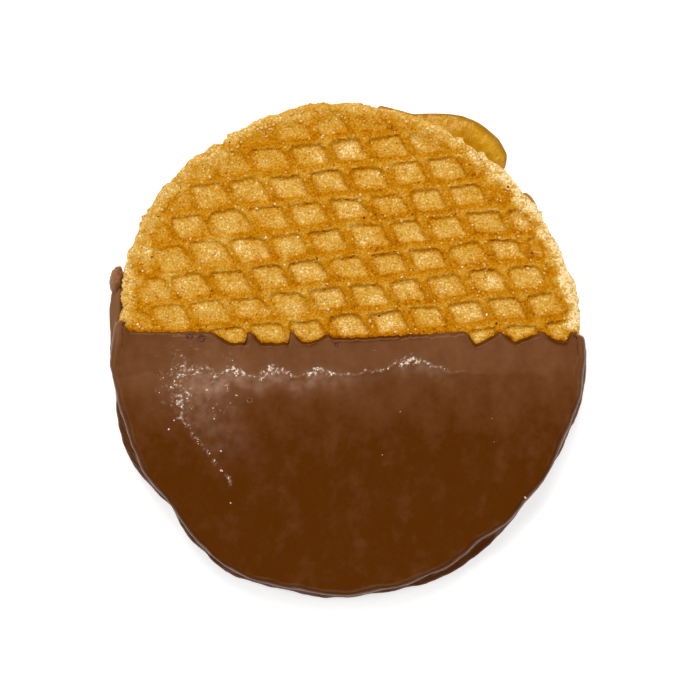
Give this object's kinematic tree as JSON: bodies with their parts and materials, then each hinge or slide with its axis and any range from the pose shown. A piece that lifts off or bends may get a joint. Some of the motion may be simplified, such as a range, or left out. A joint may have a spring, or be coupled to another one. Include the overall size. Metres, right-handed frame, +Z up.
{
  "type": "stroopwafel half dipped in chocolate",
  "caption": "Round waffle sandwich with caramel syrup between its thin wafers, one half dipped in milk chocolate.",
  "frame": {"origin": "middle of the footprint, on the surface it lies on", "axes": "+Z up through the thin direction, coated half towards -Y, bare waffle half towards +Y"},
  "size_m": [0.0908, 0.094, 0.0085],
  "materials": {
    "wafer": "matte",
    "syrup": "gloss",
    "chocolate": "satin"
  },
  "bodies": {
    "root": {"wafer_top": "wafer", "wafer_bottom": "wafer", "syrup": "syrup", "chocolate_coating": "chocolate"}
  },
  "joints": []
}
